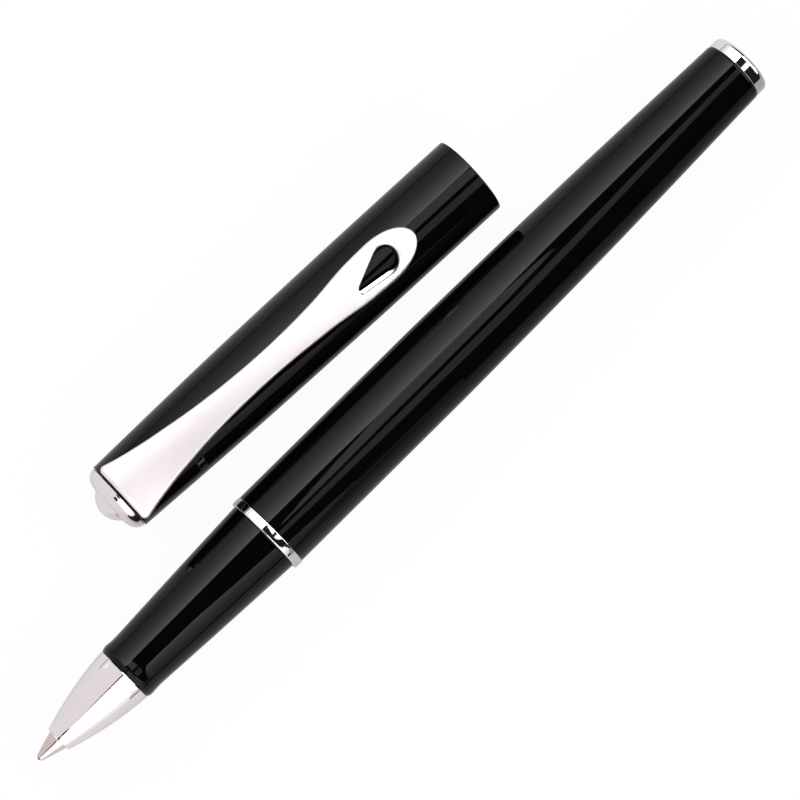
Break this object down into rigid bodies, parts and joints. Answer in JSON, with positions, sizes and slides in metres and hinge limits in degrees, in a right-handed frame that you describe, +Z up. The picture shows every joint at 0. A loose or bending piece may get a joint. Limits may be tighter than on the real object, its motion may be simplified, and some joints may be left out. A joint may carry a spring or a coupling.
{
  "type": "rollerball pen",
  "caption": "Slim gloss black rollerball pen with a chrome nose cone, trim ring and end plug, and its cap with a waisted chrome clip lying beside it.",
  "frame": {"origin": "on the table under the middle of the pen and the cap together", "axes": "+X from the writing tip to the rear end, along the pen; +Z up from the table; the cap lies on the +Y side with its clip up"},
  "size_m": [0.1185, 0.0252, 0.0123],
  "materials": {
    "black_lacquer": "deep gloss black lacquer over brass",
    "chrome_trim": "bright chrome plate",
    "brass": "turned brass",
    "spring_steel": "drawn spring wire",
    "nickel_silver": "turned nickel silver, slightly warm",
    "carbide": "polished tungsten carbide",
    "refill_plastic": "natural polypropylene",
    "refill_cap_plastic": "black moulded plastic",
    "ink_felt": "black ink-soaked fibre",
    "liner_plastic": "dark moulded plastic"
  },
  "bodies": {
    "barrel": {"barrel_tube": "black_lacquer", "barrel_sleeve": "brass", "trim_ring": "chrome_trim", "end_plug": "chrome_trim"},
    "spring": {"refill_spring": "spring_steel"},
    "section": {"grip_section": "black_lacquer", "section_coupling": "brass", "nose_cone": "chrome_trim"},
    "refill": {"refill_tip": "nickel_silver", "refill_collar": "refill_cap_plastic", "refill_tube": "refill_plastic", "refill_reservoir": "ink_felt", "refill_feed": "ink_felt", "refill_plug": "refill_cap_plastic"},
    "ball": {"refill_ball": "carbide"},
    "cap": {"cap_tube": "black_lacquer", "cap_liner": "liner_plastic", "cap_insert": "brass", "clip_pin": "spring_steel", "clip_spring": "spring_steel", "finial_base": "chrome_trim", "finial_dome": "chrome_trim", "finial_stud": "brass"},
    "clip": {"clip": "chrome_trim"}
  },
  "joints": [
    {"name": "section_travel", "type": "slide", "parent": "barrel", "child": "spring", "axis": [-1, 0, 0], "range_m": [0, 0.00675]},
    {"name": "section_unscrew", "type": "hinge", "parent": "spring", "child": "section", "pos_m": [-0.01425, -0.00731, 0.00533], "axis": [-1, 0, 0], "range_deg": [0, 3245]},
    {"name": "refill_float", "type": "slide", "parent": "spring", "child": "refill", "axis": [1, 0, 0], "range_m": [0, 0.001], "stiffness_N_per_m": 300, "springref_m": -0.002, "deforming": ["refill_spring"]},
    {"name": "ball_roll", "type": "hinge", "parent": "refill", "child": "ball", "pos_m": [-0.0589, -0.00731, 0.00533], "axis": [0, 1, 0], "continuous": true},
    {"name": "cap_pull", "type": "slide", "parent": "barrel", "child": "cap", "axis": [-0.9993, 0.0361, 0], "range_m": [0, 0.038]},
    {"name": "clip_flex", "type": "hinge", "parent": "cap", "child": "clip", "pos_m": [-0.02726, 0.00775, 0.00825], "axis": [-0.0361, -0.9978, -0.0558], "range_deg": [0, 4], "stiffness_Nm_per_rad": 2.5, "springref_deg": -1.15, "deforming": ["clip_spring"]}
  ],
  "couplings": [
    {"joint": "section_unscrew", "follows": "section_travel", "rad_per_m": 8377.6}
  ]
}
